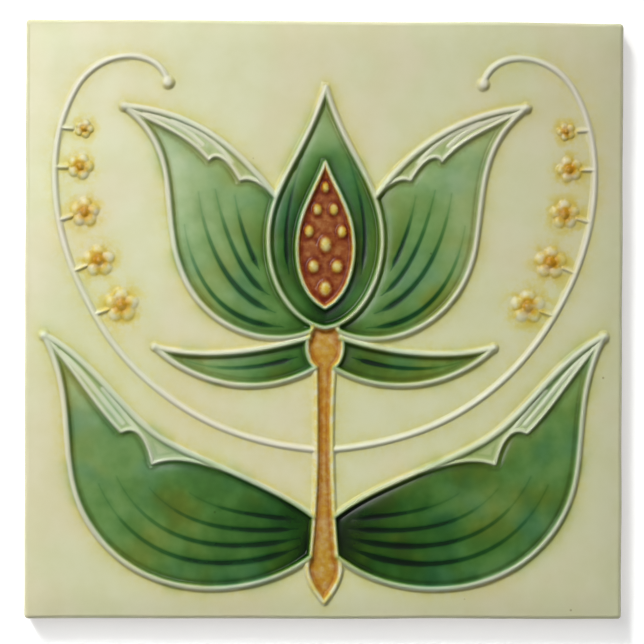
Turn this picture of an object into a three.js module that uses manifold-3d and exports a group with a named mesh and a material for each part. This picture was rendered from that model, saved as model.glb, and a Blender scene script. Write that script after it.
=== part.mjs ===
// A relief-moulded majolica wall tile: one pressed, fired and glazed piece of earthenware.
// Millimetres, +Z up. The tile lies on its back. The origin is the centre of the back, and +Y is
// the top of the ornament. The face carries a stylised lotus between two broad leaves, drawn in
// raised lines, with a tendril of small florets up each side. The back is recessed by a row of
// shallow slots, which key the tile into its mortar.
import * as THREE from 'three';
import { mergeVertices } from 'three/addons/utils/BufferGeometryUtils.js';
import Module from 'manifold-3d';

// The body
const TILE_SIDE = 152;
const BODY_THICKNESS = 8.5;
const FACE_EDGE_ROUND = 2;
const CORNER_ROUND = 1.5;
const ROUND_SEGMENTS = 4;

// The key slots in the back
const SLOT_DEPTH = 1.2;
const SLOT_WIDTH = 9;
const SLOT_GAP = 10;
const SLOT_BORDER = 17;
const SLOT_END_SEGMENTS = 4;

// The raised lines, beads, seeds and florets of the face
const LINE_WIDTH = 1.5;
const LINE_HEIGHT = 1;
const FINE_LINE_WIDTH = 1;
const FINE_LINE_HEIGHT = 0.7;
const CREST_SHARE = 0.4;
const LINE_STEP = 3.6;
const STEPS_PER_CURVE = 4;
const BEAD_HEIGHT = 1.3;
const SEED_HEIGHT = 0.8;
const PETAL_HEIGHT = 0.55;
const EYE_HEIGHT = 0.9;
const FLORET_PETALS = 5;
const DOME_SIDES = 7;
const DOME_RINGS = 4;
const ROOT_DEPTH = 0.5;

// The ornament is drawn on a square of DRAWING_SIDE, which the tile's face takes up whole.
// Only the half right of the middle is drawn, and the other half mirrors it.
const DRAWING_SIDE = 152;
const DRAWING_SCALE = TILE_SIDE / DRAWING_SIDE;

// A line starts at a point and goes on in cubic curves, each given as [handle, handle, end].
const LINES = {
  centre_petal: [[0, -2], [[8, -1], [14.5, 9], [14.5, 20]], [[14.5, 34], [5, 42], [0, 59]]],
  side_petal_outside: [[3, -3], [[15, -8], [34, -2], [38, 18]], [[40.5, 32], [38, 44], [51, 54]]],
  side_petal_inside: [[51, 54], [[38, 53], [24, 47], [12.6, 31]]],
  seed_pod: [[0, 3], [[6, 6], [7.6, 14], [7.2, 20]], [[6.6, 28], [3, 32], [0, 40]]],
  cup: [[2.3, -12], [[5, -10], [5.4, -5], [3, -3]]],
  sepal_outside: [[2.4, -12], [[14, -19], [32, -18], [43, -7]]],
  sepal_inside: [[43, -7], [[34, -10], [18, -9], [3, -4]]],
  stem: [[2.3, -12], [[1.6, -28], [1.8, -44], [3.4, -60]]],
  stem_foot: [[3.4, -60], [[5.6, -63.5], [3, -68], [0, -71.5]]],
  leaf_outside: [[3.4, -60], [[20, -73], [50, -71], [61, -49]], [[68, -35], [62, -20], [71, -4]]],
  leaf_inside: [[71, -4], [[58, -10], [52, -24], [40, -31]], [[27, -38], [13, -42], [2.6, -50]]],
  tendril: [
    [2, -33], [[24, -31], [44, -22], [57, -1]], [[69, 18], [73, 42], [63, 59]],
    [[57, 69], [42, 69], [40, 60]],
  ],
};
// The fine lines are the turned-over lips of petal and leaf.
const FINE_LINES = {
  side_petal_lip: [
    [51, 54], [[42, 49], [35, 47], [29.5, 40.5]], [[28.5, 42.5], [25, 42], [21.5, 35.5]],
    [[19, 37], [15, 34], [12.6, 31]],
  ],
  leaf_lip: [
    [71, -4], [[62, -14], [58, -22], [51.5, -28.5]], [[48, -26.5], [45, -29.5], [43.5, -36.5]],
    [[37, -34], [31, -36.5], [24, -38.6]],
  ],
};
// Beads stand on the free ends of lines.
const BEADS = [
  { at: [51, 54], radius: 1.6 },
  { at: [43, -7], radius: 1.4 },
  { at: [71, -4], radius: 1.6 },
  { at: [40, 60], radius: 1.8 },
];
// Seeds lie in the pod, as ovals of a half width and a half height.
const SEEDS = [
  { at: [0, 8], half: [1.8, 2.3] },
  { at: [3, 13.6], half: [1.6, 1.9] },
  { at: [0, 19.2], half: [1.8, 2.2] },
  { at: [4.2, 22.5], half: [1.4, 1.7] },
  { at: [2.1, 28], half: [1.3, 1.6] },
  { at: [0, 33.6], half: [1.1, 1.6] },
];
// Florets hang inside the tendril, each on a stalk that springs from its root on the tendril.
const FLORETS = [
  { at: [51.6, 3.6], radius: 4.3, root: [57.9, 1.4] },
  { at: [57.3, 14.8], radius: 4, root: [63.6, 12.2] },
  { at: [61, 27], radius: 3.7, root: [67.4, 25] },
  { at: [62.2, 38.5], radius: 3.3, root: [68.5, 38.4] },
  { at: [61.2, 48.2], radius: 2.4, root: [67.2, 48.5] },
];
// A floret's petals and eye, as shares of its radius.
const PETAL_REACH = 0.58;
const PETAL_SIZE = 0.42;
const EYE_SIZE = 0.4;

const wasm = await Module();
wasm.setup();

function toSolid(geometry) {
  geometry.deleteAttribute('normal');
  geometry.deleteAttribute('uv');
  const welded = mergeVertices(geometry, 1e-4);
  return new wasm.Manifold(new wasm.Mesh({
    numProp: 3,
    vertProperties: new Float32Array(welded.attributes.position.array),
    triVerts: new Uint32Array(welded.index.array),
  }));
}

function toGeometry(solid) {
  const mesh = solid.getMesh();
  const geometry = new THREE.BufferGeometry();
  geometry.setAttribute('position', new THREE.BufferAttribute(mesh.vertProperties, 3));
  geometry.setIndex(new THREE.BufferAttribute(mesh.triVerts, 1));
  geometry.computeVertexNormals();
  return geometry;
}

function square(half) {
  const shape = new THREE.Shape();
  shape.moveTo(-half, -half).lineTo(half, -half).lineTo(half, half).lineTo(-half, half);
  return shape.closePath();
}

function roundedSquare(half, radius) {
  const flat = half - radius;
  const quarter = Math.PI / 2;
  const shape = new THREE.Shape();
  shape.absarc(flat, flat, radius, 0, quarter);
  shape.absarc(-flat, flat, radius, quarter, 2 * quarter);
  shape.absarc(-flat, -flat, radius, 2 * quarter, 3 * quarter);
  shape.absarc(flat, -flat, radius, 3 * quarter, 4 * quarter);
  return shape.closePath();
}

// The slab is where a straight block with rounded corners meets one with a rounded face edge.
// The second block is rounded at its lower end too, which lies below the back and falls away.
function slab() {
  const corners = new THREE.ExtrudeGeometry(roundedSquare(TILE_SIDE / 2, CORNER_ROUND), {
    depth: BODY_THICKNESS + FACE_EDGE_ROUND,
    bevelEnabled: false,
    curveSegments: ROUND_SEGMENTS,
  });
  const face = new THREE.ExtrudeGeometry(square(TILE_SIDE / 2 - FACE_EDGE_ROUND), {
    depth: BODY_THICKNESS + FACE_EDGE_ROUND,
    bevelThickness: FACE_EDGE_ROUND,
    bevelSize: FACE_EDGE_ROUND,
    bevelSegments: ROUND_SEGMENTS,
  });
  face.translate(0, 0, -2 * FACE_EDGE_ROUND);
  return toSolid(corners).intersect(toSolid(face));
}

// The slots run across the back, round-ended, as many as fit between the borders.
function keySlots() {
  const field = TILE_SIDE - 2 * SLOT_BORDER;
  const pitch = SLOT_WIDTH + SLOT_GAP;
  const count = Math.floor((field + SLOT_GAP) / pitch);
  const radius = SLOT_WIDTH / 2;
  const reach = field / 2 - radius;
  const shape = new THREE.Shape();
  shape.absarc(reach, 0, radius, -Math.PI / 2, Math.PI / 2);
  shape.absarc(-reach, 0, radius, Math.PI / 2, Math.PI * 1.5);
  shape.closePath();
  const slots = [];
  for (let i = 0; i < count; i += 1) {
    const slot = new THREE.ExtrudeGeometry(shape, {
      depth: 2 * SLOT_DEPTH,
      bevelEnabled: false,
      curveSegments: SLOT_END_SEGMENTS,
    });
    slot.translate(0, (i - (count - 1) / 2) * pitch, -SLOT_DEPTH);
    slots.push(toSolid(slot));
  }
  return slots;
}

// A drawn point, on the right half or, by side -1, mirrored to the left.
function onFace([x, y], side) {
  return new THREE.Vector3(x * side * DRAWING_SCALE, y * DRAWING_SCALE, BODY_THICKNESS);
}

function drawnCurve([start, ...cubics], side) {
  const curve = new THREE.CurvePath();
  let from = start;
  for (const [leave, arrive, end] of cubics) {
    const points = [from, leave, arrive, end].map((point) => onFace(point, side));
    curve.add(new THREE.CubicBezierCurve3(...points));
    from = end;
  }
  return curve;
}

// A raised line is a trapezium, swept along its curve and rooted in the slab. Along a curve that
// lies flat the section's x points down and its y across.
function raisedLine(curve, width, height) {
  const crest = (width * CREST_SHARE) / 2;
  const slope = (width / 2 - crest) / height;
  const root = width / 2 + slope * ROOT_DEPTH;
  const section = new THREE.Shape();
  section.moveTo(ROOT_DEPTH, -root).lineTo(ROOT_DEPTH, root);
  section.lineTo(-height, crest).lineTo(-height, -crest).closePath();
  const byLength = Math.ceil(curve.getLength() / LINE_STEP);
  const pieces = curve.curves ? curve.curves.length : 1;
  const steps = Math.max(byLength, pieces * STEPS_PER_CURVE);
  return toSolid(new THREE.ExtrudeGeometry(section, { steps, extrudePath: curve }));
}

// A dome is the upper half of a flattened ball, whose lower half is in the slab.
function dome(centre, halfWidth, halfDepth, height) {
  const ball = new THREE.SphereGeometry(1, DOME_SIDES, DOME_RINGS);
  ball.rotateX(Math.PI / 2);
  ball.scale(halfWidth, halfDepth, height);
  ball.translate(centre.x, centre.y, centre.z);
  return toSolid(ball);
}

function lineSolids(lines, width, height, side) {
  const solids = [];
  for (const points of Object.values(lines)) {
    const curve = drawnCurve(points, side);
    solids.push(raisedLine(curve, width, height));
    // A dome rounds off the joint where a line meets its mirror image in the middle.
    for (const end of [curve.getPoint(0), curve.getPoint(1)]) {
      if (Math.abs(end.x) < width / 2) solids.push(dome(end, width / 2, width / 2, height));
    }
  }
  return solids;
}

function floretSolids({ at, radius, root }, side) {
  const centre = onFace(at, side);
  const size = radius * DRAWING_SCALE;
  const stalkRoot = onFace(root, side);
  const solids = [dome(centre, size * EYE_SIZE, size * EYE_SIZE, EYE_HEIGHT)];
  // One petal points away from the stalk, and the others follow it round.
  const away = Math.atan2(centre.y - stalkRoot.y, centre.x - stalkRoot.x);
  for (let i = 0; i < FLORET_PETALS; i += 1) {
    const angle = away + (i * 2 * Math.PI) / FLORET_PETALS;
    const reach = new THREE.Vector3(Math.cos(angle), Math.sin(angle), 0);
    const middle = centre.clone().addScaledVector(reach, size * PETAL_REACH);
    solids.push(dome(middle, size * PETAL_SIZE, size * PETAL_SIZE, PETAL_HEIGHT));
  }
  const stalk = new THREE.LineCurve3(stalkRoot, centre.clone().lerp(stalkRoot, 0.5));
  solids.push(raisedLine(stalk, FINE_LINE_WIDTH, FINE_LINE_HEIGHT));
  return solids;
}

function ornament() {
  const solids = [];
  for (const side of [1, -1]) {
    solids.push(...lineSolids(LINES, LINE_WIDTH, LINE_HEIGHT, side));
    solids.push(...lineSolids(FINE_LINES, FINE_LINE_WIDTH, FINE_LINE_HEIGHT, side));
    for (const { at, radius } of BEADS) {
      const size = radius * DRAWING_SCALE;
      solids.push(dome(onFace(at, side), size, size, BEAD_HEIGHT));
    }
    for (const { at, half } of SEEDS) {
      if (side < 0 && at[0] === 0) continue;
      const [halfWidth, halfDepth] = half.map((size) => size * DRAWING_SCALE);
      solids.push(dome(onFace(at, side), halfWidth, halfDepth, SEED_HEIGHT));
    }
    for (const floret of FLORETS) solids.push(...floretSolids(floret, side));
  }
  return solids;
}

const body = wasm.Manifold.difference([slab(), ...keySlots()]);
const tileSolid = wasm.Manifold.union([body, ...ornament()]);

const creamGlaze = new THREE.MeshStandardMaterial({ color: 0xd6d5ae, roughness: 0.2, metalness: 0 });
const tile = new THREE.Mesh(toGeometry(tileSolid), creamGlaze);
tile.name = 'tile';

const root = new THREE.Group();
root.add(tile);
export default root;
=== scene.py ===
# A relief-moulded majolica wall tile, lying on its back on a pale studio floor and seen from above.
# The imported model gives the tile's box. The fine relief, the glazes and the studio are made here.
# The ornament is drawn and modelled in millimetres, and the meshes are in metres.
import math

import bpy
import numpy as np
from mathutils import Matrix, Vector
from mathutils.geometry import delaunay_2d_cdt


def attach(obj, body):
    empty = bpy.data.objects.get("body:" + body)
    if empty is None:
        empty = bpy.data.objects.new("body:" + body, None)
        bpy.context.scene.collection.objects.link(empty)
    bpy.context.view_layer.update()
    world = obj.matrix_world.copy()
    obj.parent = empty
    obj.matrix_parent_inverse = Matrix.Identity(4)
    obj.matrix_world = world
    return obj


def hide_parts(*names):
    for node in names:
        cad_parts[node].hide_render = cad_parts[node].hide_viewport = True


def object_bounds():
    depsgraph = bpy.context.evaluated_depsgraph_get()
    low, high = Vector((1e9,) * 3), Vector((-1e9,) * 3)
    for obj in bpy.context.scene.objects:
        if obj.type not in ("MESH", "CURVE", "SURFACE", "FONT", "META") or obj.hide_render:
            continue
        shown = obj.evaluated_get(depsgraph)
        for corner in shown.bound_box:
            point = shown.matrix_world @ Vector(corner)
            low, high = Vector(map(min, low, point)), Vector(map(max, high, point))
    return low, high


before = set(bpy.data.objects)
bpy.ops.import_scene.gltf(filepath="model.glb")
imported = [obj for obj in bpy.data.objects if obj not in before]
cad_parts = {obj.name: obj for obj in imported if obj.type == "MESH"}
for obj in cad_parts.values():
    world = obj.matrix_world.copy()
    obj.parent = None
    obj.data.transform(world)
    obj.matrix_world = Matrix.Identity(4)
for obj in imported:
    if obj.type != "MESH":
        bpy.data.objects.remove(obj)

MM = 0.001
CAD_LOW, CAD_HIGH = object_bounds()
HALF = CAD_HIGH.x / MM
BODY_THICKNESS = 8.5

# The ornament's lines. A line starts at a point and goes on in cubic curves, each given as
# (handle, handle, end). Only the half right of the middle is drawn, and the other mirrors it.
LINES = {
    "centre_petal": [(0, -2), ((8, -1), (14.5, 9), (14.5, 20)), ((14.5, 34), (5, 42), (0, 59))],
    "side_petal_outside": [
        (3.5, -2.8), ((15, -8), (34, -2), (38, 18)), ((40.5, 32), (38, 44), (51, 54)),
    ],
    "side_petal_inside": [(51, 54), ((38, 53), (24, 47), (12.6, 31))],
    "seed_pod": [(0, 3), ((6, 6), (7.6, 14), (7.2, 20)), ((6.6, 28), (3, 32), (0, 40))],
    "cup": [(2.3, -12), ((5, -10), (5.4, -5), (2.8, -1.7))],
    "sepal_outside": [(2.4, -12), ((14, -19), (32, -18), (43, -7))],
    "sepal_inside": [(43, -7), ((34, -10), (18, -9), (4, -4.6))],
    "stem": [(2.3, -12), ((1.6, -28), (1.8, -44), (3.4, -60))],
    "stem_foot": [(3.4, -60), ((5.6, -63.5), (3, -68), (0, -71.5))],
    "leaf_outside": [
        (3.4, -60), ((20, -73), (50, -71), (61, -49)), ((68, -35), (62, -20), (71, -4)),
    ],
    "leaf_inside": [
        (71, -4), ((58, -10), (52, -24), (40, -31)), ((27, -38), (13, -42), (2.6, -50)),
    ],
    "tendril": [
        (2, -33), ((24, -31), (44, -22), (57, -1)), ((69, 18), (73, 42), (63, 59)),
        ((57, 69), (42, 69), (40, 60)),
    ],
    "side_petal_lip": [
        (51, 54), ((42, 49), (35, 47), (29.5, 40.5)), ((28.5, 42.5), (25, 42), (21.5, 35.5)),
        ((19, 37), (15, 34), (12.6, 31)),
    ],
    "leaf_lip": [
        (71, -4), ((62, -14), (58, -22), (51.5, -28.5)), ((48, -26.5), (45, -29.5), (43.5, -36.5)),
        ((37, -34), (31, -36.5), (24, -38.6)),
    ],
    "petal_long_fold": [(46, 52.2), ((41, 50.8), (35.5, 48.6), (31.2, 44.2))],
    "petal_short_fold": [(39, 50.2), ((34, 48.6), (28, 45.5), (23.8, 40))],
    "leaf_long_fold": [(67, -8.2), ((60.5, -13.5), (56, -21), (51, -26.4))],
    "leaf_short_fold": [(56, -17.6), ((53, -21.2), (50.4, -24.8), (47.2, -28.6))],
}
# Each line's half width to the foot of its fillet, and its height.
BROAD, SLIM, THIN = (1.15, 1.15), (0.94, 0.95), (0.94, 0.66)
FINE, FOLD, STALK_SIZE = (0.78, 0.75), (0.85, 0.45), (0.66, 0.62)
SLIM_LINES = ("seed_pod", "cup", "stem", "stem_foot")
FINE_LINES = ("side_petal_lip", "leaf_lip")
FOLDS = ("petal_long_fold", "petal_short_fold", "leaf_long_fold", "leaf_short_fold")
# Lines with green glaze on neither side
PLAIN_LINES = ("tendril", "stem", "stem_foot", "cup", "seed_pod")

# Veins are grooves: a line, and its half width at its start and at its end.
VEINS = [
    ([(11, -1.8), ((24, -1.5), (33.5, 8), (35.6, 24))], 0.75, 0.12),
    ([(12.6, 1.8), ((23.5, 5.6), (30, 17), (32, 32))], 0.85, 0.12),
    ([(14.4, 6.4), ((21.5, 11), (25.5, 22), (27.8, 33))], 0.75, 0.12),
    ([(16.8, 12.8), ((19.6, 18), (21.6, 24), (22.8, 31))], 0.65, 0.1),
    ([(9.2, 12), ((10.8, 20), (10.4, 28), (5.5, 42))], 0.5, 0.1),
    ([(6.5, -57.8), ((26, -66), (48, -62), (57, -42))], 0.9, 0.12),
    ([(6.3, -55.4), ((26, -60), (44, -57), (52.5, -40))], 0.85, 0.12),
    ([(6.6, -53), ((24, -54.5), (36, -52), (44, -43))], 0.75, 0.12),
    ([(7.5, -50.6), ((20, -49.5), (28, -48), (34, -44))], 0.6, 0.1),
    ([(7, -9.4), ((18, -13), (28, -13), (35, -10.5))], 0.6, 0.1),
]

# Beads stand on the free ends of lines, and seeds lie in the pod, with a half width and height.
BEADS = [((51, 54), 1.6), ((43, -7), 1.4), ((71, -4), 1.6), ((40, 60), 1.8)]
SEEDS = [
    ((0, 8), (1.9, 2.4)), ((3, 13.6), (1.7, 2.1)), ((0, 19.2), (1.9, 2.4)),
    ((4.2, 22.5), (1.5, 1.9)), ((2.1, 28), (1.4, 1.8)), ((0, 33.6), (1.2, 1.7)),
]
BEAD_HEIGHT, SEED_HEIGHT, PETAL_HEIGHT, EYE_HEIGHT = 1.2, 0.8, 0.55, 0.9

# Florets hang inside the tendril: a middle, a radius, and the stalk's root on the tendril.
FLORETS = [
    ((51.6, 3.6), 4.3, (57.9, 1.4)), ((57.3, 14.8), 4.0, (63.6, 12.2)),
    ((61, 27), 3.7, (67.4, 25)), ((62.2, 38.5), 3.3, (68.5, 38.4)),
    ((61.2, 48.2), 2.4, (67.2, 48.5)),
]
FLORET_PETALS = 5
PETAL_REACH, PETAL_SIZE, EYE_SIZE = 0.58, 0.42, 0.4

# Where the green glaze pooled deepest: up the flower's heart, and at the roots of the leaves.
FLOWER_HEART, LEAF_HEART = ((0, -6), (0, 14)), ((4, -60), (7, -50))

GROUND, GREEN, LIP, POD, STALK = range(5)
def smooth(low, high, x):
    """A smooth step from 0 at low to 1 at high."""
    t = np.clip((x - low) / (high - low), 0, 1)
    return t * t * (3 - 2 * t)


def bell(r):
    """A rounded ridge across: 1 in the middle, and 0 with a filleted foot from r = 1."""
    return (1 - np.clip(r, 0, 1) ** 2.4) ** 1.65


def plump(r):
    """A plump bump across: 1 in the middle, and 0 from r = 1."""
    return (1 - np.clip(r, 0, 1) ** 3) ** 1.3


def even(points, step):
    """Points on the same line, evenly spaced about step apart."""
    gaps = np.linalg.norm(np.diff(points, axis=0), axis=1)
    along = np.concatenate([[0], np.cumsum(gaps)])
    places = np.linspace(0, along[-1], max(3, round(along[-1] / step) + 1))
    return np.stack([np.interp(places, along, points[:, i]) for i in (0, 1)], axis=1)


def drawn(path, step=0.4):
    """The points of a drawn line, step apart."""
    t = np.linspace(0, 1, 60)[:, None]
    start, pieces = path[0], []
    for leave, arrive, end in path[1:]:
        a, b, c, d = (np.array(q, float) for q in (start, leave, arrive, end))
        pieces.append(
            (1 - t) ** 3 * a + 3 * (1 - t) ** 2 * t * b + 3 * (1 - t) * t**2 * c + t**3 * d
        )
        start = end
    return even(np.concatenate(pieces), step)


def wobble(points, length, seed):
    """A smooth uneven number from about -1 to 1, whose hills are about length apart."""
    turn = 2 * math.pi / length
    x, y = points[:, 0], points[:, 1]
    return (
        np.sin(turn * (x * 0.83 + y * 0.41) + seed)
        + np.sin(turn * (x * -0.37 + y * 0.97) * 1.31 + 2.1 * seed + 1)
        + np.sin(turn * (x * 0.71 - y * 0.66) * 0.77 + 3.7 * seed + 2)
    ) / 3


class Line:
    """A raised line or a groove: its points, and its half width and height at each of them."""

    def __init__(self, points, half, height):
        self.points = points
        uneven = wobble(points, 17, 3)
        self.half = half * (1 + 0.05 * uneven)
        self.height = height * (1 + 0.05 * wobble(points, 11, 5)) * np.ones(len(points))

    def at(self, points, reach):
        """Each point's distance from the line, at most reach, and the half width and height there."""
        distance, place = nearest(points, self.points, reach)
        index = np.arange(len(self.points))
        return distance, np.interp(place, index, self.half), np.interp(place, index, self.height)


def nearest(points, line, reach, chunk=10):
    """Each point's distance from a line, at most reach, and the place of the nearest point on it."""
    distance, place = np.full(len(points), float(reach)), np.zeros(len(points))
    for first in range(0, len(line) - 1, chunk):
        part = line[first : first + chunk + 1]
        low, high = part.min(0) - reach, part.max(0) + reach
        near = np.flatnonzero(((points > low) & (points < high)).all(1))
        if not len(near):
            continue
        edge = part[1:] - part[:-1]
        gap = points[near][:, None] - part[:-1]
        share = np.clip((gap * edge).sum(2) / (edge**2).sum(1), 0, 1)
        apart = np.linalg.norm(gap - share[..., None] * edge, axis=2)
        best = apart.argmin(1)
        rows = np.arange(len(near))
        closer = apart[rows, best] < distance[near]
        hit = near[closer]
        distance[hit] = apart[rows, best][closer]
        place[hit] = first + best[closer] + share[rows, best][closer]
    return distance, place


def raised_line(name):
    kinds = ((FINE_LINES, FINE), (FOLDS, FOLD), (SLIM_LINES, SLIM), (("tendril",), THIN))
    half, height = next((size for names, size in kinds if name in names), BROAD)
    return Line(drawn(LINES[name]), half, height)


GROOVE_BANK, GROOVE_DEPTH, VALLEY = 0.3, 0.03, 0.13


def stalk(middle, root):
    middle, root = np.array(middle, float), np.array(root, float)
    return Line(even(np.stack([root, (middle + root) / 2]), 0.4), *STALK_SIZE)


RAISED = {name: raised_line(name) for name in LINES}
STALKS = [stalk(middle, root) for middle, _, root in FLORETS]


def groove(path, start, end):
    """A groove like a brush stroke: it starts thin, is soon wide and deep, and fades out."""
    points = drawn(path)
    share = np.linspace(0, 1, len(points))
    pressed = smooth(0, 0.15, share)
    half = (start + (end - start) * share + GROOVE_BANK) * (0.25 + 0.75 * pressed)
    strength = (1 - 0.85 * smooth(0.1, 1.0, share)) * (0.4 + 0.6 * pressed)
    return Line(points, half, strength)


GROOVES = [groove(*vein) for vein in VEINS]


def bumps():
    """(kind, middle, (half width, half height), height) of every bump."""
    for at, radius in BEADS:
        yield "bead", np.array(at, float), np.array([radius, radius]), BEAD_HEIGHT
    for at, half in SEEDS:
        yield "seed", np.array(at, float), np.array(half, float), SEED_HEIGHT
    for at, radius, root in FLORETS:
        at, root = np.array(at, float), np.array(root, float)
        away = math.atan2(at[1] - root[1], at[0] - root[0])
        for i in range(FLORET_PETALS):
            angle = away + i * 2 * math.pi / FLORET_PETALS
            middle = at + radius * PETAL_REACH * np.array([math.cos(angle), math.sin(angle)])
            size = radius * (PETAL_SIZE + 0.06)
            yield "petal", middle, np.array([size, size]), PETAL_HEIGHT
        size = radius * EYE_SIZE
        yield "eye", at, np.array([size, size]), EYE_HEIGHT


BUMPS = list(bumps())


def outline(*names, half=False):
    """A closed outline from lines that follow one another, each from where the last one meets it.
    A half one ends past the middle."""
    points = []
    for name in names:
        line = RAISED[name].points
        if points:
            gaps = np.linalg.norm(line - points[-1][-1], axis=1)
            if gaps[0] > gaps[-1]:
                line, gaps = line[::-1], gaps[::-1]
            line = line[gaps.argmin() :]
        points.append(line)
    points = np.concatenate(points)
    if half:
        past = points[[-1, 0]] * [0, 1] - [1, 0]
        points = np.concatenate([points, past])
    return points


# The glaze cells, from the lowest to the topmost
CELLS = [
    (GREEN, outline("side_petal_outside", "side_petal_inside")),
    (LIP, outline("side_petal_lip", "side_petal_inside")),
    (GREEN, outline("sepal_outside", "sepal_inside")),
    (GREEN, outline("leaf_outside", "leaf_inside")),
    (LIP, outline("leaf_lip", "leaf_inside")),
    (GREEN, outline("centre_petal", half=True)),
    (POD, outline("seed_pod", half=True)),
    (STALK, outline("cup", half=True)),
    (STALK, outline("stem", half=True)),
    (STALK, outline("stem_foot", half=True)),
]


def inside(points, shape):
    """True for each point inside a closed outline."""
    found = np.zeros(len(points), bool)
    low, high = shape.min(0), shape.max(0)
    near = np.flatnonzero(((points > low) & (points < high)).all(1))
    x, y = points[near].T
    hits = np.zeros(len(near), bool)
    for (ax, ay), (bx, by) in zip(shape, np.roll(shape, -1, axis=0)):
        if ay != by:
            hits ^= ((ay > y) != (by > y)) & (x < (bx - ax) * (y - ay) / (by - ay) + ax)
    found[near] = hits
    return found


def cell_of(points):
    """The kind of glaze cell that each point is in."""
    kind = np.full(len(points), GROUND)
    for glaze, shape in CELLS:
        kind[inside(points, shape)] = glaze
    return kind


# The swell of the petals and leaves: how far a skin held at the lines would blow up, worked out
# on a grid over the right half.
GRID = 0.4
SWELL_ROUNDS = 260
SWELL_REACH = 5.0
OVER_RELAX = 1.93


def swell_grid():
    xs = np.arange(0, HALF + GRID, GRID)
    ys = np.arange(-HALF, HALF + GRID, GRID)
    points = np.stack(np.meshgrid(xs, ys, indexing="ij"), axis=-1)
    flat = points.reshape(-1, 2)
    clear = np.full(len(flat), 1.0)
    for line in RAISED.values():
        clear = np.minimum(clear, nearest(flat, line.points, 1.0)[0])
    free = ((cell_of(flat) == GREEN) & (clear > 0.5)).reshape(len(xs), len(ys)).astype(float)
    checks = np.indices(free.shape).sum(0) % 2
    turns = [free * (checks == 0), free * (checks == 1)]
    height = np.zeros(free.shape)
    for _ in range(SWELL_ROUNDS):
        for turn in turns:
            around = np.zeros_like(height)
            around[1:] += height[:-1]
            around[0] += height[1]
            around[:-1] += height[1:]
            around[:, 1:] += height[:, :-1]
            around[:, :-1] += height[:, 1:]
            height += turn * OVER_RELAX * ((around + GRID**2) / 4 - height)
    return 1 - np.exp(-2 * height / SWELL_REACH**2)


SWELL = swell_grid()


def swell_at(points):
    """The swell at each point, from the grid around it."""
    x = np.clip(points[:, 0] / GRID, 0, SWELL.shape[0] - 1.001)
    y = np.clip((points[:, 1] + HALF) / GRID, 0, SWELL.shape[1] - 1.001)
    i, j = x.astype(int), y.astype(int)
    u, v = x - i, y - j
    return (
        SWELL[i, j] * (1 - u) * (1 - v) + SWELL[i + 1, j] * u * (1 - v)
        + SWELL[i, j + 1] * (1 - u) * v + SWELL[i + 1, j + 1] * u * v
    )


# How far each kind of cell lies below the ground, and how far it swells in its middle
DISH = np.array([0.0, 0.34, -0.28, 0.36, 0.3])
SWELL_HEIGHT = np.array([0.0, 0.75, 0.0, 0.0, 0.0])
HEART_DIP = 0.3
WAVE, WAVE_INLAND = 0.05, 8
BLEND = 4
# The face falls gently towards the tile's edges, from this far in and by this much.
FALL_REACH, FALL = 6.5, 0.6
EDGE_ROUND, EDGE_STEPS = 1.2, 6


def edge_fall(points):
    """How far the face lies lower near the tile's edges."""
    shares = np.clip((np.abs(points) - (HALF - EDGE_ROUND - FALL_REACH)) / FALL_REACH, 0, 1) ** 2
    return FALL * (1 - (1 - shares[:, 0]) * (1 - shares[:, 1]))


def heart_distance(points):
    """Each point's distance from the nearest heart. The leaves' hearts reach further."""
    flower, _ = nearest(points, np.array(FLOWER_HEART, float), 90)
    leaf, _ = nearest(points, np.array(LEAF_HEART, float), 90)
    return np.minimum(flower, leaf / 1.3)


def relief(points):
    """The height of the face over its flat ground. The left half mirrors the right one."""
    points = np.stack([np.abs(points[:, 0]), points[:, 1]], axis=1)
    raised, near = np.zeros(len(points)), np.full(len(points), 2.0)
    for line in [*RAISED.values(), *STALKS]:
        distance, half, height = line.at(points, 2.0)
        raised += (height * bell(distance / half)) ** BLEND
        near = np.minimum(near, distance)
    for _, middle, half, height in BUMPS:
        raised += (height * plump(np.linalg.norm((points - middle) / half, axis=1))) ** BLEND
    raised = raised ** (1 / BLEND)
    kind = cell_of(points)
    dip = HEART_DIP * np.exp(-heart_distance(points) / 9) * (kind == GREEN)
    floor = SWELL_HEIGHT[kind] * swell_at(points) - DISH[kind] - dip
    for line in GROOVES:
        distance, half, strength = line.at(points, 4.5)
        dent = GROOVE_DEPTH * bell(distance / half) + VALLEY * np.exp(-((distance / 1.5) ** 2))
        floor -= strength * dent * (kind == GREEN)
    floor *= smooth(0.1, 1.25, near)
    inland = smooth(EDGE_ROUND, WAVE_INLAND, HALF - np.abs(points).max(1))
    return floor + raised + WAVE * wobble(points, 31, 1) * inland - edge_fall(points)


def line_marks(points, reach):
    """How near the points are to any line and to those beside green, and how high up a line."""
    near, near_green = np.full(len(points), reach), np.full(len(points), reach)
    crest, slim_crest = np.zeros(len(points)), np.zeros(len(points))
    for name, line in [*RAISED.items(), *(("stalk", line) for line in STALKS)]:
        distance, half, _ = line.at(points, reach)
        top = 1 - smooth(0.45, 1.0, distance / half)
        near = np.minimum(near, distance)
        crest = np.maximum(crest, top)
        if name in SLIM_LINES:
            slim_crest = np.maximum(slim_crest, top)
        if name not in (*PLAIN_LINES, "stalk"):
            near_green = np.minimum(near_green, distance)
    return near, near_green, crest, slim_crest


def bump_marks(points):
    """How high up each kind of bump the points are, and how near to a seed's foot."""
    tops = {kind: np.zeros(len(points)) for kind in ("bead", "seed", "petal", "eye")}
    foot = np.zeros(len(points))
    for kind, middle, half, _ in BUMPS:
        distance = np.linalg.norm((points - middle) / half, axis=1)
        tops[kind] = np.maximum(tops[kind], 1 - smooth(0.5, 1.0, distance))
        if kind == "seed":
            foot = np.maximum(foot, np.exp(-(((distance - 1.1) / 0.22) ** 2)))
    return tops, foot


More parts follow.
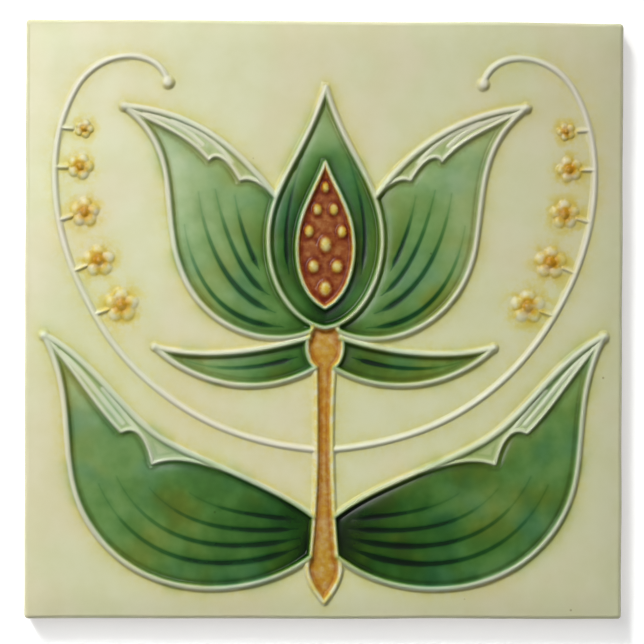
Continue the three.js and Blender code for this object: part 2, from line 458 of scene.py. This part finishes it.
def vein_marks(points):
    """How deep in a vein the points are, and how near to one."""
    vein, beside = np.zeros(len(points)), np.zeros(len(points))
    for line in GROOVES:
        distance, half, strength = line.at(points, 5.0)
        vein = np.maximum(vein, strength * smooth(1.0, 0.42, distance / half))
        beside = np.maximum(beside, strength * np.exp(-((distance / 2.2) ** 2)))
    return vein, beside


def stain_at(points):
    """How much of the florets' ochre ran out over each point, and how far out in one it is."""
    stain, out = np.zeros(len(points)), np.zeros(len(points))
    for middle, radius, _ in FLORETS:
        distance = np.linalg.norm(points - np.array(middle), axis=1) / radius
        stain = np.maximum(stain, np.exp(-((distance / 1.02) ** 2)))
        out = np.maximum(out, smooth(0.35, 0.8, distance) * (distance < 1.2))
    return stain, out


# The leaves took more green than the petals, the more so the lower down.
LEAF_TOP, LEAF_LOW, LEAF_EXTRA = -4, -34, 1.15


def glazes(points):
    """The depth of each glaze at each point of the right half, in coats."""
    near, near_green, crest, slim_crest = line_marks(points, 9.0)
    tops, foot = bump_marks(points)
    vein, beside = vein_marks(points)
    stain, out = stain_at(points)
    swell, kind = swell_at(points), cell_of(points)
    heart = heart_distance(points)
    flank = smooth(0.25, 1.05, near)
    rim = np.exp(-(((near - 1.25) / 0.55) ** 2))
    halo = np.exp(-np.maximum(0, near - 0.8) / 1.9) * smooth(0.55, 1.15, near)
    base = 1.15 + 1.75 * np.exp(-((heart / 30) ** 2)) + 3.0 * np.exp(-heart / 5.5)
    base += LEAF_EXTRA * smooth(LEAF_TOP, LEAF_LOW, points[:, 1])
    pod_side = np.exp(-nearest(points, RAISED["seed_pod"].points, 12.0)[0] / 3)
    deep = base + 2.0 * pod_side * (kind == GREEN)
    on_crest = (0.12 + 0.14 * np.exp(-heart / 16)) * np.minimum(base, 3.5)
    in_cell = on_crest + (deep - on_crest) * flank + 0.2 * base * rim - 0.35 * swell
    in_cell += 3.6 * vein + 0.45 * beside
    beside_cell = on_crest * (1 - smooth(0, 1.0, near_green))
    in_lip = on_crest + (0.55 - on_crest) * flank + 0.55 * rim
    green = np.select([kind == GREEN, kind == LIP], [in_cell, in_lip], beside_cell)
    brown = np.select(
        [kind == POD, kind == STALK, kind == GREEN],
        [1.9 * flank + 1.2 * rim + 1.2 * foot, 0.62 * flank + 0.6 * rim, 0.3 * rim],
        0.6 * stain**2 * (1 - 0.7 * tops["petal"] * out),
    )
    brown *= 1 - 0.93 * tops["seed"]
    yellow = 2.4 * tops["seed"] + 1.1 * slim_crest + 1.7 * (kind == STALK) * flank
    yellow += 3.1 * stain * (1 - 0.65 * tops["petal"] * out) + 0.42 * halo * (kind == GROUND)
    thin = np.maximum.reduce([crest, tops["bead"], tops["petal"]])
    bleed = np.exp(-np.maximum(0, near_green - 0.6) / 1.1) * (kind == GROUND)
    bleed *= smooth(0.3, 0.9, near)
    pooled = 0.35 * halo * (kind == GROUND) + 0.75 * bleed * smooth(0.7, 1.2, near)
    return {
        "cream": (1 + pooled) * (1 - 0.55 * thin),
        "green": green,
        "brown": brown,
        "yellow": yellow * (kind != GREEN),
        "vein": vein * (kind == GREEN),
        "bleed": bleed,
    }
# The mesh. Rows of points follow every line, so that its crest and feet are edges of the mesh.
ROWS = (0, 0.3, 0.58, 0.8, 1.0, 1.35, 1.9)
ROW_STEP = 0.42
GROOVE_ROWS = (0, 0.4, 0.8, 1.2)
RING_SHARES = (0.35, 0.65, 0.85, 1.0, 1.2)
CELL_STEP, GROUND_STEP = 0.8, 1.3


def rows_along(points, half, shares, step):
    """Rows of points beside a line, at shares of its half width."""
    spots = even(points, step)
    ahead = np.gradient(spots, axis=0)
    ahead /= np.linalg.norm(ahead, axis=1)[:, None]
    aside = np.stack([-ahead[:, 1], ahead[:, 0]], axis=1)
    width = np.interp(np.linspace(0, 1, len(spots)), np.linspace(0, 1, len(half)), half)
    for level, share in enumerate(shares):
        for side in (1, -1) if share else (1,):
            skip = 2 if share > 1.2 else 1
            yield level, (spots + aside * (side * share * width)[:, None])[::skip]


def ring_around(middle, half):
    yield 0, middle[None]
    for level, share in enumerate(RING_SHARES):
        count = 6 + 3 * level
        angle = np.arange(count) * 2 * math.pi / count + 0.3 * level
        yield level, middle + share * half * np.stack([np.cos(angle), np.sin(angle)], axis=1)


def feature_points():
    """(level, smallest gap, points) of every row and ring, the most important first."""
    found = []
    for line in [*RAISED.values(), *STALKS]:
        for level, row in rows_along(line.points, line.half, ROWS, ROW_STEP):
            found.append((level, 0.2 if level < 5 else 0.34, row))
    for _, middle, half, _ in BUMPS:
        for level, row in ring_around(middle, half):
            found.append((level, 0.22, row))
    for line in GROOVES:
        for level, row in rows_along(line.points, line.half, GROOVE_ROWS, 0.7):
            found.append((level + 2, 0.22, row))
    return sorted(found, key=lambda row: row[0])


class Sieve:
    """Keeps points that are far enough from those kept before."""

    def __init__(self, cell):
        self.cell, self.kept, self.boxes = cell, [], {}

    def add(self, points, gap):
        reach = math.ceil(gap / self.cell)
        for x, y in points.tolist():
            i, j = math.floor(x / self.cell), math.floor(y / self.cell)
            if not any(
                (x - self.kept[k][0]) ** 2 + (y - self.kept[k][1]) ** 2 < gap * gap
                for a in range(i - reach, i + reach + 1)
                for b in range(j - reach, j + reach + 1)
                for k in self.boxes.get((a, b), ())
            ):
                self.boxes.setdefault((i, j), []).append(len(self.kept))
                self.kept.append((x, y))


CORNER_IN, CORNER_OUT, CORNER_STEPS = 0.5, 1.1, 5
SIDE_STATIONS = 50
SIDE_STEP = 0.7
BACK_ROUND, BACK_STEPS = 0.5, 3


def half_ring(half, corner):
    """The right half of a rounded square, from the middle of its lower side to that of its upper."""
    flat = half - corner
    along = np.linspace(0, flat, SIDE_STATIONS, endpoint=False)
    turn = np.linspace(0, math.pi / 2, CORNER_STEPS, endpoint=False)
    lower = np.stack([along, np.full(len(along), -half)], axis=1)
    bend = np.stack([flat + corner * np.sin(turn), -flat - corner * np.cos(turn)], axis=1)
    right = np.stack([np.full(len(along), half), -flat + along], axis=1)
    quarter = np.concatenate([lower, bend, right, [[half, 0]]])
    return np.concatenate([quarter, quarter[-2::-1] * [1, -1]])


def full_ring(half, corner):
    """A rounded square, right half first, then the left half back down."""
    right = half_ring(half, corner)
    return np.concatenate([right, right[-2:0:-1] * [-1, 1]])


def triangulate(points, loop):
    """Triangles over the points inside a loop of their first points."""
    edges = [(i, (i + 1) % loop) for i in range(loop)]
    result = delaunay_2d_cdt([Vector(p) for p in points.tolist()], edges, [], 1, 1e-7)
    if len(result[0]) != len(points):
        raise ValueError("two points of the mesh fell together")
    order = np.array([source[0] for source in result[3]])
    return order[np.array(result[2])]


def face_points():
    """The points of the face's right half. Its ring and then its middle line come first."""
    ring = half_ring(HALF - EDGE_ROUND, CORNER_IN)
    top = HALF - EDGE_ROUND
    middle = np.arange(top, -top, -0.45)[1:]
    middle = np.stack([np.zeros(len(middle)), middle], axis=1)
    sieve = Sieve(0.5)
    sieve.add(ring, 0)
    sieve.add(middle, 0)
    loop = len(sieve.kept)
    for _, gap, row in feature_points():
        clear = (row[:, 0] > 0.16) & (np.abs(row).max(1) < HALF - EDGE_ROUND - 0.3)
        sieve.add(row[clear], gap)
    for step, cells in ((CELL_STEP, True), (GROUND_STEP, False)):
        xs = np.arange(step / 2, top, step)
        ys = np.arange(-top + step / 3, top, step * 0.866)
        grid = np.stack(np.meshgrid(xs, ys, indexing="ij"), axis=-1)
        grid[:, ::2, 0] += step / 2
        grid = grid.reshape(-1, 2)
        grid = grid[(cell_of(grid) != GROUND) == cells]
        grid = grid[(grid[:, 0] < top - 0.4) & (np.abs(grid[:, 1]) < top - 0.4)]
        sieve.add(grid, 0.62 * step)
    return np.array(sieve.kept), loop


# The back's key slots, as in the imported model
SLOT_DEPTH, SLOT_WIDTH, SLOT_GAP, SLOT_BORDER = 1.2, 9.0, 10.0, 17.0
SLOT_WALL = 0.35
SLOT_ROWS = (-1.0, -0.45, -0.15, 0.15, 0.4, 0.9)
SLOT_STEP = 2.2


def slots():
    """Each slot's height across the back, and how far its straight part reaches."""
    field = 2 * HALF - 2 * SLOT_BORDER
    pitch = SLOT_WIDTH + SLOT_GAP
    count = int((field + SLOT_GAP) // pitch)
    reach = field / 2 - SLOT_WIDTH / 2
    return [((i - (count - 1) / 2) * pitch, reach) for i in range(count)]


def slot_depth(points):
    """How deep the back is cut at each point."""
    out = np.full(len(points), 9.0)
    for y, reach in slots():
        nearest_x = np.clip(points[:, 0], -reach, reach)
        gap = np.hypot(points[:, 0] - nearest_x, points[:, 1] - y) - SLOT_WIDTH / 2
        out = np.minimum(out, gap)
    return SLOT_DEPTH * (1 - smooth(-SLOT_WALL - 0.15, SLOT_WALL - 0.15, out))


def back_points(ring):
    sieve = Sieve(0.5)
    sieve.add(ring, 0)
    for y, reach in slots():
        for row in SLOT_ROWS:
            radius = SLOT_WIDTH / 2 + row
            turn = np.linspace(-math.pi / 2, math.pi / 2, 13)
            cap = np.stack([reach + radius * np.cos(turn), y + radius * np.sin(turn)], axis=1)
            run = np.arange(-reach + SLOT_STEP, reach, SLOT_STEP)
            upper = np.stack([run, np.full(len(run), y + radius)], axis=1)
            lower = upper * [1, -1] + [0, 2 * y]
            sieve.add(np.concatenate([cap, cap * [-1, 1], upper, lower]), 0.12)
    step = 4.0
    xs = np.arange(-HALF + 2, HALF - 1.5, step)
    grid = np.stack(np.meshgrid(xs, xs, indexing="ij"), axis=-1).reshape(-1, 2)
    sieve.add(grid, 1.6)
    return np.array(sieve.kept)


# The glaze ran over the edges and stopped in an uneven line on the sides, with a few drips.
GLAZE_LINE, GLAZE_SWING, GLAZE_COAT = 4.6, 0.9, 0.14
BARE = 60.0
SLOPE_REACH = 0.2
DRIPS = [(0.06, 2.4, 2.2), (0.19, 1.6, 1.5), (0.37, 2.9, 2.6), (0.58, 1.5, 1.8), (0.71, 2.6, 2.0),
         (0.88, 1.9, 1.6)]


def glaze_line(ring):
    """How high over the back the glaze stops, at each station of a ring."""
    line = GLAZE_LINE + GLAZE_SWING * wobble(ring, 23, 2) + 0.35 * wobble(ring, 6, 4)
    gaps = np.linalg.norm(np.roll(ring, -1, axis=0) - ring, axis=1)
    along = np.concatenate([[0], np.cumsum(gaps)[:-1]])
    for share, depth, width in DRIPS:
        away = (along - share * gaps.sum()) / width
        line -= depth * np.exp(-(away**2))
    return np.maximum(line, 0.9)


def side_profile():
    """(half width, corner, height) of each ring from just under the face down to the back."""
    profile = []
    first = math.atan(2 * FALL / FALL_REACH)
    radius = EDGE_ROUND / (1 - math.sin(first))
    for i in range(1, EDGE_STEPS + 1):
        turn = first + i / EDGE_STEPS * (math.pi / 2 - first)
        grown = radius * (math.sin(turn) - math.sin(first))
        drop = FALL + radius * (math.cos(first) - math.cos(turn))
        corner = CORNER_IN + (CORNER_OUT - CORNER_IN) * grown / EDGE_ROUND
        profile.append((HALF - EDGE_ROUND + grown, corner, BODY_THICKNESS - drop))
    top = profile[-1][2]
    count = round((top - BACK_ROUND) / SIDE_STEP)
    for i in range(1, count + 1):
        profile.append((HALF, CORNER_OUT, top + (BACK_ROUND - top) * i / count))
    for i in range(1, BACK_STEPS + 1):
        turn = i / BACK_STEPS * math.pi / 2
        shrunk = BACK_ROUND * (1 - math.cos(turn))
        profile.append((HALF - shrunk, CORNER_OUT - shrunk, BACK_ROUND * (1 - math.sin(turn))))
    return profile


PROFILE = side_profile()


def side_ring(half, corner, z):
    """One ring of the sides, pulled in where it has no coat of glaze, and the glaze's line there."""
    ring = full_ring(half, corner)
    line = glaze_line(ring)
    bare = GLAZE_COAT * smooth(0.25, -0.25, z - line)
    ring = ring * (1 - bare / np.abs(ring).max(1))[:, None]
    return np.concatenate([ring, np.full((len(ring), 1), z)], axis=1), line


def face_normals(points):
    """The relief's own normals, from its slopes."""
    slopes = [
        (relief(points - step) - relief(points + step)) / (2 * SLOPE_REACH)
        for step in (np.array([SLOPE_REACH, 0]), np.array([0, SLOPE_REACH]))
    ]
    normals = np.stack([*slopes, np.ones(len(points))], axis=1)
    return normals / np.linalg.norm(normals, axis=1)[:, None]


def whole_face():
    """The face's points, triangles, normals, glaze depths and outer ring, made from its half."""
    half, loop = face_points()
    half_triangles = triangulate(half, loop)
    off_middle = np.flatnonzero(half[:, 0] > 1e-9)
    mirror = np.arange(len(half))
    mirror[off_middle] = len(half) + np.arange(len(off_middle))

    def whole(values, flip=1):
        return np.concatenate([values, values[off_middle] * flip])

    height = whole(BODY_THICKNESS + relief(half))
    points = np.concatenate([whole(half, [-1, 1]), height[:, None]], axis=1)
    triangles = np.concatenate([half_triangles, mirror[half_triangles][:, ::-1]])
    depths = {name: whole(values) for name, values in glazes(half).items()}
    size = len(half_ring(HALF, CORNER_OUT))
    ring = np.concatenate([np.arange(size), mirror[np.arange(size - 2, 0, -1)]])
    return points, triangles, whole(face_normals(half), [-1, 1, 1]), depths, ring


def build_skin():
    """The tile's closed skin: points, the triangles of face and back, the quads of the sides, the
    face's normals, and the glaze depths."""
    points, triangles, normals, depths, ring = whole_face()
    rows, lines, quads = [points], [np.full(len(points), -9.0)], []
    start = len(points)
    for half, corner, z in PROFILE:
        row = start + np.arange(len(ring))
        quads.append(np.stack([ring, row, np.roll(row, -1), np.roll(ring, -1)], axis=1))
        points, line = side_ring(half, corner, z)
        rows.append(points)
        lines.append(line)
        ring, start = row, start + len(row)
    edge = rows.pop()[:, :2]
    start -= len(edge)
    back = back_points(edge)
    back_triangles = triangulate(back, len(edge))[:, ::-1] + start
    rows.append(np.concatenate([back, slot_depth(back)[:, None]], axis=1))
    lines[-1] = np.full(len(back), BARE)
    depths["run"] = np.concatenate(lines)
    return np.concatenate(rows), (triangles, back_triangles), np.concatenate(quads), normals, depths


SHIFT = 0.14


def unsettle(points):
    """The small unevenness of a hand-finished pressing."""
    flat = points[:, :2]
    aside = np.stack([wobble(flat, 43, 7), wobble(flat, 37, 9)], axis=1)
    return np.concatenate([flat + SHIFT * aside, points[:, 2:]], axis=1)


EDGE_COATS = {"cream": 1.0}

# The map for baking: the face takes most of the square, with the sides in strips to its right and
# the back in the corner over them.
MAP_FACE, MAP_BACK, MAP_MARGIN, MAP_STRIP = 0.78, 0.19, 0.01, 0.048


def bake_map(mesh, face_count, back_count):
    corners = np.zeros(len(mesh.loops), int)
    mesh.loops.foreach_get("vertex_index", corners)
    places = np.zeros(len(mesh.vertices) * 3)
    mesh.vertices.foreach_get("co", places)
    places = places.reshape(-1, 3)[corners, :2] / (2 * HALF * MM) + 0.5
    spots = MAP_MARGIN + MAP_FACE * places
    back = slice(3 * face_count, 3 * (face_count + back_count))
    spots[back] = 1 - MAP_MARGIN - MAP_BACK * places[back]
    first = back.stop
    side = places[first:].reshape(-1, 4, 2)
    middle = side.mean(1) - 0.5
    upright = np.abs(middle[:, 0]) > np.abs(middle[:, 1])
    strip = 2 * upright + (np.where(upright, middle[:, 0], middle[:, 1]) > 0)
    along = np.where(upright[:, None], side[:, :, 1], side[:, :, 0])
    profile = np.array([(HALF - EDGE_ROUND, 0, BODY_THICKNESS), *PROFILE])[:, [0, 2]]
    steps = np.linalg.norm(np.diff(profile, axis=0), axis=1)
    down = np.concatenate([[0], np.cumsum(steps)]) / (2 * HALF)
    level = np.repeat(np.arange(len(PROFILE)), len(side) // len(PROFILE))[:, None] + [0, 1, 1, 0]
    across = MAP_MARGIN * 2 + MAP_FACE + MAP_STRIP * strip[:, None] + 0.6 * MAP_FACE * down[level]
    spots[first:] = np.stack([across, MAP_MARGIN + MAP_FACE * along], axis=2).reshape(-1, 2)
    mesh.uv_layers.new(name="OFBake").data.foreach_set("uv", spots.ravel())


def make_tile():
    points, (front, back), quads, normal, depths = build_skin()
    mesh = bpy.data.meshes.new("glazed_tile")
    faces = [*front.tolist(), *back.tolist(), *quads.tolist()]
    mesh.from_pydata((unsettle(points) * MM).tolist(), [], faces)
    mesh.shade_smooth()
    bake_map(mesh, len(front), len(back))
    for name, values in depths.items():
        filled = np.full(len(points), EDGE_COATS.get(name, 0.0))
        filled[: len(values)] = values
        attribute = mesh.attributes.new(name, "FLOAT", "POINT")
        attribute.data.foreach_set("value", filled.astype(np.float32))
    normals = np.zeros(len(points) * 3)
    mesh.vertices.foreach_get("normal", normals)
    normals = normals.reshape(-1, 3)
    normals[: len(normal)] = normal
    mesh.normals_split_custom_set_from_vertices(normals.tolist())
    tile = bpy.data.objects.new("glazed_tile", mesh)
    bpy.context.scene.collection.objects.link(tile)
    return tile


# Materials


class Nodes:
    """A short way to write a node tree."""

    def __init__(self, tree):
        self.tree = tree
        tree.nodes.clear()

    def put(self, socket, value):
        if isinstance(value, bpy.types.NodeSocket):
            self.tree.links.new(value, socket)
        elif value is not None:
            socket.default_value = value

    def add(self, kind, inputs=(), output=0, **settings):
        node = self.tree.nodes.new(kind)
        for name, value in settings.items():
            setattr(node, name, value)
        for key, value in dict(inputs).items():
            self.put(node.inputs[key], value)
        return node.outputs[output]

    def math(self, operation, a, b=None, c=None, clamp=False):
        inputs = {i: v for i, v in enumerate((a, b, c)) if v is not None}
        return self.add("ShaderNodeMath", inputs, operation=operation, use_clamp=clamp)

    def depth(self, name):
        return self.add("ShaderNodeAttribute", output="Fac", attribute_name=name)

    def step(self, value, low, high, to_low=0.0, to_high=1.0):
        inputs = {"Value": value, "From Min": low, "From Max": high, "To Min": to_low,
                  "To Max": to_high}
        return self.add("ShaderNodeMapRange", inputs, interpolation_type="SMOOTHSTEP")

    def noise(self, where, scale, detail=3.0, rough=0.5, output="Fac"):
        inputs = {"Vector": where, "Scale": scale, "Detail": detail, "Roughness": rough}
        return self.add("ShaderNodeTexNoise", inputs, output=output)

    def mix(self, share, a, b, how="MIX"):
        inputs = {"Factor": share, 6: a, 7: b}
        return self.add("ShaderNodeMix", inputs, output=2, data_type="RGBA", blend_type=how)

    def times(self, a, b):
        return self.mix(1.0, a, b, how="MULTIPLY")

    def finish(self, output, shader, inputs):
        """Joins the shader to the tree's output."""
        self.put(self.tree.nodes.new(output).inputs["Surface"], self.add(shader, inputs))

    def coats(self, colour, depth):
        """The colour that light keeps after a depth of coats, as a power of one coat's colour."""
        return self.add("ShaderNodeGamma", {"Color": colour, "Gamma": depth})


BODY = (0.83, 0.815, 0.75, 1)
CREAM_COAT = (0.835, 0.835, 0.585, 1)
GRASS_COAT, EMERALD_COAT, OLIVE_COAT = (0.46, 0.64, 0.42, 1), (0.42, 0.62, 0.5, 1), (0.55, 0.64, 0.36, 1)
BROWN_COAT = (0.66, 0.36, 0.2, 1)
YELLOW_COAT = (0.975, 0.9, 0.5, 1)
PINKISH, GREENISH = (1.0, 0.97, 0.965, 1), (0.97, 1.0, 0.965, 1)
SPECK = (0.42, 0.36, 0.24, 1)
BISCUIT_PALE, BISCUIT_DARK = (0.66, 0.56, 0.42, 1), (0.5, 0.4, 0.28, 1)
BISCUIT_ROUGHNESS, GLAZE_IOR = 0.85, 1.52


def glaze_colour(n, where, broad, cloud, fine):
    """The white body seen through its coats of coloured glaze, each as deep as it pooled there."""
    drift = n.noise(where, 62.0, 2.0, output="Color")
    hues = [n.add("ShaderNodeSeparateColor", {"Color": drift}, output=i) for i in range(3)]
    uneven = n.math("MULTIPLY", n.step(cloud, 0.3, 0.7, 0.86, 1.14), n.step(broad, 0.35, 0.65, 0.88, 1.12))
    bleed = n.math("MULTIPLY", n.depth("bleed"), n.step(hues[2], 0.5, 0.66, 0.0, 0.7))
    green = n.math("ADD", n.math("MULTIPLY", n.depth("green"), uneven), bleed)
    cream = n.math("MULTIPLY", n.depth("cream"), n.step(cloud, 0.3, 0.7, 0.88, 1.12))
    brown = n.math("MULTIPLY", n.depth("brown"), n.step(fine, 0.3, 0.7, 0.8, 1.25))
    blots = n.step(n.noise(where, 420.0), 0.36, 0.64, 0.25, 1.55)
    yellow = n.math("MULTIPLY", n.depth("yellow"), blots)

    coat = n.mix(n.step(hues[0], 0.42, 0.7), GRASS_COAT, OLIVE_COAT)
    emerald = n.math("ADD", n.step(hues[1], 0.46, 0.72), n.depth("vein"), clamp=True)
    coat = n.mix(emerald, coat, EMERALD_COAT)
    colour = n.times(BODY, n.mix(n.step(broad, 0.38, 0.62), PINKISH, GREENISH))
    for tint, depth in ((CREAM_COAT, cream), (coat, green), (BROWN_COAT, brown), (YELLOW_COAT, yellow)):
        colour = n.times(colour, n.coats(tint, depth))
    return colour


def specks(n, where, colour):
    """A few faint dark specks of iron in the glaze."""
    dots = {"Vector": where, "Scale": 110.0}
    dot = n.add("ShaderNodeTexVoronoi", dots, output="Distance")
    shade = n.add("ShaderNodeTexVoronoi", dots, output="Color")
    rare = n.step(n.add("ShaderNodeSeparateColor", {"Color": shade}), 0.7, 0.72)
    share = n.math("MULTIPLY", n.step(dot, 0.045, 0.02), n.math("MULTIPLY", rare, 0.6))
    return n.mix(share, colour, n.times(colour, SPECK))


def glaze_material():
    material = bpy.data.materials.new("majolica_glaze")
    material.use_nodes = True
    n = Nodes(material.node_tree)
    where = n.add("ShaderNodeTexCoord", output="Object")
    broad, cloud, fine = n.noise(where, 42.0, 2.0), n.noise(where, 120.0, 3.0), n.noise(where, 700.0, 3.0)
    glaze = specks(n, where, glaze_colour(n, where, broad, cloud, fine))

    height = n.add("ShaderNodeSeparateXYZ", {"Vector": where}, output="Z")
    over = n.math("SUBTRACT", n.math("DIVIDE", height, MM), n.depth("run"))
    over = n.math("ADD", over, n.step(fine, 0.3, 0.7, -0.2, 0.2))
    glazed = n.step(over, -0.08, 0.08)
    bare = n.math("SUBTRACT", 1.0, glazed)
    biscuit = n.mix(n.step(n.noise(where, 260.0, 5.0, 0.65), 0.3, 0.7), BISCUIT_DARK, BISCUIT_PALE)
    biscuit = n.times(biscuit, n.mix(n.step(broad, 0.35, 0.65), (0.9, 0.88, 0.86, 1), (1, 1, 1, 1)))
    roughness = n.math("MULTIPLY", glazed, n.step(cloud, 0.3, 0.7, 0.2, 0.265))
    roughness = n.math("MULTIPLY_ADD", bare, BISCUIT_ROUGHNESS, roughness)

    peel = {"Strength": 0.12, "Distance": 0.0002, "Height": n.noise(where, 300.0, 2.0)}
    smooth_bump = n.add("ShaderNodeBump", peel, output="Normal")
    pits = {"Strength": bare, "Distance": 0.00025, "Height": n.noise(where, 1500.0, 4.0, 0.7)}
    bump = n.add("ShaderNodeBump", {**pits, "Normal": smooth_bump}, output="Normal")
    n.finish(
        "ShaderNodeOutputMaterial",
        "ShaderNodeBsdfPrincipled",
        {"Base Color": n.mix(glazed, biscuit, glaze), "Roughness": roughness, "Normal": bump,
         "IOR": GLAZE_IOR},
    )
    return material
def floor_material():
    material = bpy.data.materials.new("studio_floor")
    material.use_nodes = True
    n = Nodes(material.node_tree)
    where = n.add("ShaderNodeTexCoord", output="Object")
    colour = n.mix(n.step(n.noise(where, 3.0), 0.3, 0.7), (0.8, 0.8, 0.8, 1), (0.84, 0.84, 0.84, 1))
    paper = {"Base Color": colour, "Roughness": 0.9, "Emission Color": (1, 1, 1, 1),
             "Emission Strength": 0.5}
    n.finish("ShaderNodeOutputMaterial", "ShaderNodeBsdfPrincipled", paper)
    return material
# The floor lies just under the tile's back, so that the two faces don't share a plane.
FLOOR_GAP = 0.0003


def make_floor():
    mesh = bpy.data.meshes.new("studio_floor")
    side = 3.0
    corners = [(-side, -side), (side, -side), (side, side), (-side, side)]
    mesh.from_pydata([(x, y, -FLOOR_GAP) for x, y in corners], [], [(0, 1, 2, 3)])
    floor = bpy.data.objects.new("studio_floor", mesh)
    bpy.context.scene.collection.objects.link(floor)
    mesh.materials.append(floor_material())


def softbox(name, place, aim, size, power, spread=180, shines=True):
    """A square soft light that faces a point. A narrow spread lights the far side less, and one
    that doesn't shine leaves no reflection of itself in the glaze."""
    light = bpy.data.lights.new(name, "AREA")
    light.shape = "SQUARE"
    light.size = size
    light.energy = power
    light.spread = math.radians(spread)
    lamp = bpy.data.objects.new(name, light)
    lamp.location = place
    lamp.rotation_euler = (Vector(aim) - Vector(place)).to_track_quat("-Z", "Y").to_euler()
    lamp.visible_glossy = shines
    bpy.context.scene.collection.objects.link(lamp)


# The key light stands over the tile's upper left and lights the right side less.
KEY_PLACE, KEY_AIM, KEY_SPREAD = (-0.37, 0.56, 0.56), (-0.095, 0.02, 0), 25.5
# The glaze mirrors the pale panel, which lies over this place.
PANEL_PLACE = (-0.21, 0.17)


def make_studio():
    softbox("key_light", KEY_PLACE, KEY_AIM, 0.4, 0.385, KEY_SPREAD, shines=False)
    softbox("key_shine", KEY_PLACE, KEY_AIM, 0.4, 0.13, KEY_SPREAD)
    softbox("pale_panel", (*PANEL_PLACE, 0.6), (*PANEL_PLACE, 0), 0.3, 1.2)
    world = bpy.data.worlds.new("studio")
    world.use_nodes = True
    n = Nodes(world.node_tree)
    n.finish("ShaderNodeOutputWorld", "ShaderNodeBackground", {"Color": (1, 1, 1, 1), "Strength": 0.115})
    bpy.context.scene.world = world


# The camera stands a little to the left, as the tile's corners in the photo show.
CAMERA_PLACE, CAMERA_TURN = (-0.0298, 0.0014, 0.85), (-0.137, -1.978, 0.246)
VIEW_WIDTH = 0.16496


def make_camera():
    data = bpy.data.cameras.new("camera")
    data.lens = data.sensor_width * CAMERA_PLACE[2] / VIEW_WIDTH
    camera = bpy.data.objects.new("camera", data)
    camera.location = CAMERA_PLACE
    camera.rotation_euler = [math.radians(turn) for turn in CAMERA_TURN]
    bpy.context.scene.collection.objects.link(camera)
    bpy.context.scene.camera = camera
make_camera()
make_studio()
make_floor()
tile = make_tile()
tile.data.materials.append(glaze_material())
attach(tile, "root")
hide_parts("tile")
bpy.context.scene.view_settings.view_transform = "Standard"
